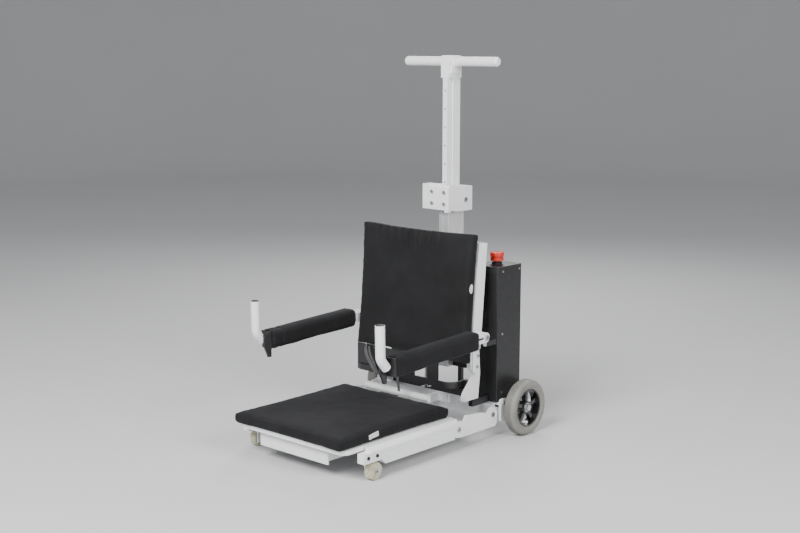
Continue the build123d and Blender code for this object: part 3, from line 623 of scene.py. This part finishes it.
# The seat cushion lies flat on its board.
seat_low, seat_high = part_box("seat_cushion")
seat_size = seat_high - seat_low
seat_place = Matrix.Translation(((seat_low.x + seat_high.x) / 2, (seat_low.y + seat_high.y) / 2, seat_low.z))
seat_cover = cushion("seat_cushion_cover", "seat_cushion", "seat", seat_place, seat_size, {
    "inset": 0.003, "corner": 0.006, "crown": 0.004, "pull": 0.02, "cap": 0.004, "base_cut": 0.002, "fill": 0.9,
})

# The back cushion stands on the recline: its own z looks forward and its own y runs up the backrest.
back_low, back_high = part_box("back_cushion")
span_y, span_z = back_high.y - back_low.y, back_high.z - back_low.z
turn = math.cos(RECLINE) ** 2 - math.sin(RECLINE) ** 2
back_thick = (span_y * math.cos(RECLINE) - span_z * math.sin(RECLINE)) / turn
back_tall = (span_z * math.cos(RECLINE) - span_y * math.sin(RECLINE)) / turn
back_up = Vector((0, math.sin(RECLINE), math.cos(RECLINE)))
back_front = Vector((0, -math.cos(RECLINE), math.sin(RECLINE)))
back_middle = (back_low + back_high) / 2
back_base = back_middle - back_front * back_thick / 2
back_place = Matrix((
    (-1, back_up.x, back_front.x, back_base.x),
    (0, back_up.y, back_front.y, back_base.y),
    (0, back_up.z, back_front.z, back_base.z),
    (0, 0, 0, 1),
))
back_size = Vector((back_high.x - back_low.x, back_tall, back_thick))

GATHERS = 9
GATHER_START = -0.175
GATHER_STEP = 0.036
gather_random = random.Random(7)
gathers = [
    (-(GATHER_START + GATHER_STEP * k + gather_random.uniform(-0.006, 0.006)),
     gather_random.uniform(0.005, 0.009), gather_random.uniform(0.035, 0.07), gather_random.uniform(-0.12, 0.12))
    for k in range(GATHERS)
]


def back_folds(point, normal):
    """Gathers that hang from the top seam of the front, and a slack crease above the base."""
    below = back_size.y / 2 - point.y
    front = max(0.0, normal.z)
    offset = 0.0
    for x, depth, reach, lean in gathers:
        beside = point.x - x - lean * below
        width = 0.006 + 0.008 * bell(below, 0.03)
        ridge = 0.45 * bell(beside - 0.013, 0.007)
        offset += depth * bell(below - 0.01, reach) * (ridge - bell(beside, width))
    offset -= 0.0018 * bell(below - 0.43 - 0.01 * math.sin(point.x * 9), 0.008)
    return Vector((0, 0, offset * front))


back_cover = cushion("back_cushion_cover", "back_cushion", "carriage", back_place, back_size, {
    "inset": 0.003, "corner": 0.006, "crown": 0.003, "pull": 0.025, "cap": 0.004, "base_cut": 0.002,
    "fill": 0.9, "folds": back_folds,
})


# Each armrest is a sewn sleeve round the arm tube.
ARM_PAD_SIZE = (0.062, 0.421, 0.068)


def arm_folds(point, normal):
    """Slack along the underside and a tuck near the front end."""
    ahead = ARM_PAD_SIZE[1] / 2 - point.y
    tuck = -0.0022 * bell(ahead - 0.045 - 0.2 * (point.z - 0.034), 0.006)
    wave = noise.noise(Vector((point.x * 12, point.y * 16, point.z * 10)))
    slack = 0.0025 * wave * (1 - point.z / ARM_PAD_SIZE[2])
    return normal * (tuck + slack) * (1 - bell(ahead, 0.02))


def arm_sleeve(side_name):
    """The padded sleeve of one armrest."""
    low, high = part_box(f"arm_pad_{side_name}")
    middle = (low + high) / 2
    forward = Vector((0, -math.cos(ARM_DROOP), -math.sin(ARM_DROOP)))
    up = Vector((0, -math.sin(ARM_DROOP), math.cos(ARM_DROOP)))
    base = middle - up * ARM_PAD_SIZE[2] / 2
    place = Matrix((
        (-1, forward.x, up.x, base.x),
        (0, forward.y, up.y, base.y),
        (0, forward.z, up.z, base.z),
        (0, 0, 0, 1),
    ))
    name = f"arm_sleeve_{side_name}"
    piece = padded_form(name, (0.060, 0.419, 0.066), 0.007, 0.001, 0.008)
    inflate(piece, 0.0015)
    fit(piece, ARM_PAD_SIZE, 0.0)
    subdivide(piece)
    dress_sleeve(piece)
    piece.data.transform(place)
    attach(piece, f"arm_{side_name}", "charcoal_fabric", f"arm_pad_{side_name}")


def dress_sleeve(piece):
    """A lengthwise seam under the sleeve, end seams and soft slack."""
    half_y = ARM_PAD_SIZE[1] / 2
    normals = [normal.vector.copy() for normal in piece.data.vertex_normals]
    for vertex, normal in zip(piece.data.vertices, normals):
        x, y, z = vertex.co
        end = half_y - abs(y)
        offset = -0.002 * bell(end - 0.006, 0.002)
        offset -= 0.0014 * bell(z - 0.014, 0.0022) * bell(abs(x) - 0.031, 0.006)
        offset += 0.0008 * noise.noise(Vector((x * 60, y * 60, z * 60))) * bell(end, 0.03)
        vertex.co += normal * offset + arm_folds(vertex.co, normal)


for side_label, _ in SIDES:
    arm_sleeve(side_label)


# ---------------------------------------------------------------- trim
def end_plug(name, node, body, radius):
    """A black plug in the open top of a grip tube."""
    low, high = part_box(node)
    x = (low.x + high.x) / 2
    y = low.y + radius
    profile = (
        (radius * 0.9, -0.004), (radius * 0.9, 0.0004), (radius * 0.84, 0.0014),
        (radius * 0.5, 0.0021), (0, 0.0024),
    )
    form = lathe(profile, 32, Matrix.Translation((x, y, high.z)))
    attach(add_object(name, form, materials["black_plastic"]), body, "black_plastic")


for side_label, _ in SIDES:
    end_plug(f"grip_plug_{side_label}", f"arm_grip_{side_label}", f"arm_{side_label}", 0.016)


def weld_bead(name, start, end, radius, body, slot):
    """A weld fillet between two points, rippled along its length."""
    start, end = Vector(start), Vector(end)
    steps = max(8, round((end - start).length / 0.0016))
    points = [start.lerp(end, k / steps) for k in range(steps + 1)]
    form = swept(points, circle(radius, 8))
    form.verts.ensure_lookup_table()
    for index, vertex in enumerate(form.verts):
        ring = index // 8
        ripple = 1 + 0.16 * math.sin(ring * 1.9) + 0.08 * noise.noise(vertex.co * 300)
        centre = points[min(ring, steps)]
        vertex.co = centre + (vertex.co - centre) * ripple
    attach(add_object(name, form, materials[slot]), body, slot)


BEAD = 0.0025
pedestal_low, pedestal_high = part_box("mast_pedestal")
beam_low, beam_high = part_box("axle_beam")
for number, y in enumerate((pedestal_low.y, pedestal_high.y)):
    weld_bead(f"pedestal_weld_{number}", (pedestal_low.x, y, beam_high.z), (pedestal_high.x, y, beam_high.z),
              BEAD, "chassis", "black_paint")
tubes_low, tubes_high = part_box("cross_tubes")
POST_INNER = 0.225
CROSS_TUBE = 0.028
for side_label, side_sign in SIDES:
    for number, z in enumerate((tubes_high.z - CROSS_TUBE, tubes_low.z + CROSS_TUBE)):
        weld_bead(f"tube_weld_{side_label}_{number}", (side_sign * POST_INNER, tubes_low.y, z),
                  (side_sign * POST_INNER, tubes_high.y, z), BEAD, "carriage", "white_paint")
    plate_x = side_sign * beam_high.x
    for number, y in enumerate((beam_low.y, beam_high.y)):
        weld_bead(f"plate_weld_{side_label}_{number}", (plate_x, y, beam_low.z), (plate_x, y, beam_high.z),
                  BEAD, "chassis", "white_paint")

# ---------------------------------------------------------------- straps and tags
# A strap's cut across: a flat strip with softened corners, one unit wide and one thick.
STRAP_OUTLINE = ((-0.5, -0.3), (-0.46, -0.5), (0.46, -0.5), (0.5, -0.3),
                 (0.5, 0.3), (0.46, 0.5), (-0.46, 0.5), (-0.5, 0.3))


def strap(name, route, width, thickness, across, body, material):
    """Flat webbing along a smooth route, with its width near one direction."""
    curve_points = smooth_route([Vector(p) for p in route], 6)
    form = bmesh.new()
    rings = []
    for index, point in enumerate(curve_points):
        before = curve_points[max(index - 1, 0)]
        after = curve_points[min(index + 1, len(curve_points) - 1)]
        ahead = (after - before).normalized()
        side = (Vector(across) - ahead * Vector(across).dot(ahead)).normalized()
        face = side.cross(ahead)
        rings.append([form.verts.new(point + side * a * width + face * b * thickness) for a, b in STRAP_OUTLINE])
    for lower, upper in zip(rings, rings[1:]):
        for k in range(8):
            form.faces.new((lower[k], lower[(k + 1) % 8], upper[(k + 1) % 8], upper[k]))
    form.faces.new(rings[0])
    form.faces.new(rings[-1])
    piece = add_object(name, form, material)
    piece.data.set_sharp_from_angle(angle=math.radians(50))
    attach(piece, body, "charcoal_fabric")


def smooth_route(points, steps):
    """Points on a Catmull-Rom curve through the given points."""
    padded = [points[0] * 2 - points[1]] + points + [points[-1] * 2 - points[-2]]
    route = []
    for p0, p1, p2, p3 in zip(padded, padded[1:], padded[2:], padded[3:]):
        for k in range(steps):
            t = k / steps
            route.append(0.5 * (2 * p1 + (p2 - p0) * t + (2 * p0 - 5 * p1 + 4 * p2 - p3) * t * t
                                + (3 * p1 - p0 - 3 * p2 + p3) * t ** 3))
    route.append(points[-1])
    return route


hoop_low, hoop_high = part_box("back_hoop")
belt_front = hoop_low.y - 0.013
strap("lap_belt_loop", [
    (-0.214, belt_front + 0.020, back_low.z + 0.004), (-0.209, belt_front + 0.007, 0.277),
    (-0.198, belt_front, 0.255), (-0.180, belt_front - 0.001, 0.228), (-0.160, belt_front + 0.001, 0.202),
    (-0.150, belt_front + 0.002, 0.188), (-0.148, belt_front + 0.006, 0.184), (-0.154, belt_front + 0.009, 0.190),
    (-0.172, belt_front + 0.008, 0.222), (-0.190, belt_front + 0.009, 0.252), (-0.203, belt_front + 0.018, 0.280),
], 0.015, 0.0014, (0.72, 0.0, 0.69), "carriage", belt)
strap("belt_tail", [
    (-0.050, belt_front + 0.010, 0.214), (-0.051, belt_front + 0.0095, 0.200), (-0.052, belt_front + 0.0105, 0.180),
    (-0.053, belt_front + 0.014, 0.165), (-0.054, belt_front + 0.018, 0.150), (-0.055, belt_front + 0.020, 0.136),
], 0.012, 0.0014, (1, 0, 0), "carriage", belt)


def tag(name, cover, centre, half_long, half_tall, along, up, rounded, body):
    """A plain sewn tag on a cover's side, slightly cupped so that its edges lift."""
    along, up = Vector(along).normalized(), Vector(up).normalized()
    out = along.cross(up)
    tree = BVHTree.FromObject(cover, bpy.context.evaluated_depsgraph_get())
    form = bmesh.new()
    columns, rows = 14, 8
    grid = []
    for i in range(columns + 1):
        a = 2 * i / columns - 1
        grid.append([])
        for j in range(rows + 1):
            b = 2 * j / rows - 1
            reach = math.sqrt(max(0.0, 1 - a * a)) if rounded else 1.0
            flat = Vector(centre) + along * a * half_long + up * b * half_tall * max(reach, 0.05)
            hit = tree.ray_cast(flat + out * 0.05, -out)[0] or flat
            lift = 0.0006 + 0.0007 * (a * a + b * b) + 0.0004 * math.sin(5 * a)
            grid[-1].append(form.verts.new(hit + out * lift))
    for i in range(columns):
        for j in range(rows):
            form.faces.new((grid[i][j], grid[i + 1][j], grid[i + 1][j + 1], grid[i][j + 1]))
    piece = add_object(name, form, tag_ribbon)
    thicken = piece.modifiers.new("thickness", "SOLIDIFY")
    thicken.thickness = 0.0004
    attach(piece, body, "charcoal_fabric")


tag("seat_tag", seat_cover, (seat_high.x, -0.317, 0.134), 0.024, 0.008, (0, 1, 0.1), (0, -0.1, 1), False, "seat")
tag("back_tag", back_cover, back_middle + Vector((back_size.x / 2, 0, 0)) + back_up * 0.037, 0.017, 0.009,
    back_up, back_front, True, "carriage")

# ---------------------------------------------------------------- stage, light and camera
def studio_bowl(flat, bend, top, count):
    """A flat round floor whose rim curves up into a wall, open above."""
    profile = [(0.0, 0.0), (flat, 0.0)]
    for k in range(1, 13):
        angle = k * math.pi / 24
        profile.append((flat + bend * math.sin(angle), bend - bend * math.cos(angle)))
    profile.append((flat + bend, top))
    bowl = lathe(profile, count, Matrix.Identity(4))
    lids = [face for face in bowl.faces if len(face.verts) > 4]
    bmesh.ops.delete(bowl, geom=lids, context="FACES_ONLY")
    return bowl


floor_mesh = studio_bowl(9.0, 4.0, 7.0, 128)
floor_surface = Surface("studio_floor", {"Specular IOR Level": 0.2})
floor_material = floor_surface.finish(
    floor_surface.mix(floor_surface.spread(floor_surface.noise(0.6, 3), 0, 1),
                      rgb(0.62, 0.62, 0.625), rgb(0.6, 0.6, 0.605)),
    floor_surface.spread(floor_surface.noise(3, 3), 0.7, 0.8),
    floor_surface.bump(floor_surface.noise(300, 2), 0.0002, 0.1),
)
floor = add_object("studio_floor", floor_mesh, floor_material)

world = bpy.data.worlds.new("studio")
world.use_nodes = True
world.node_tree.nodes["Background"].inputs["Color"].default_value = rgb(0.9, 0.92, 0.95)
world.node_tree.nodes["Background"].inputs["Strength"].default_value = 0.42
bpy.context.scene.world = world


def soft_box(name, place, aim, size, power):
    """A square studio light that looks at a point."""
    data = bpy.data.lights.new(name, "AREA")
    data.size = size
    data.energy = power
    lamp = bpy.data.objects.new(name, data)
    lamp.location = place
    lamp.rotation_mode = "QUATERNION"
    lamp.rotation_quaternion = (Vector(aim) - Vector(place)).to_track_quat("-Z", "Y")
    bpy.context.scene.collection.objects.link(lamp)


soft_box("key_light", (0.6, -3.4, 3.2), (0, 0, 0.4), 2.0, 300)
soft_box("side_light", (4.0, -0.4, 2.4), (0, 0.2, 0.4), 1.6, 140)
soft_box("back_light", (-1.8, 2.8, 2.8), (0, 0.2, 0.7), 1.6, 60)

camera_data = bpy.data.cameras.new("photo_view")
camera_data.lens = 59.15
camera_data.sensor_width = 36.0
camera = bpy.data.objects.new("photo_view", camera_data)
camera_back = Vector((0.6620, -0.7302, 0.1690)).normalized()
camera_right = Vector((0.7408, 0.6717, 0.0)).normalized()
camera_up = camera_back.cross(camera_right)
camera.matrix_world = Matrix.Translation((3.068, -3.301, 1.393)) @ Matrix((
    (camera_right.x, camera_up.x, camera_back.x, 0),
    (camera_right.y, camera_up.y, camera_back.y, 0),
    (camera_right.z, camera_up.z, camera_back.z, 0),
    (0, 0, 0, 1),
))
bpy.context.scene.collection.objects.link(camera)
bpy.context.scene.camera = camera
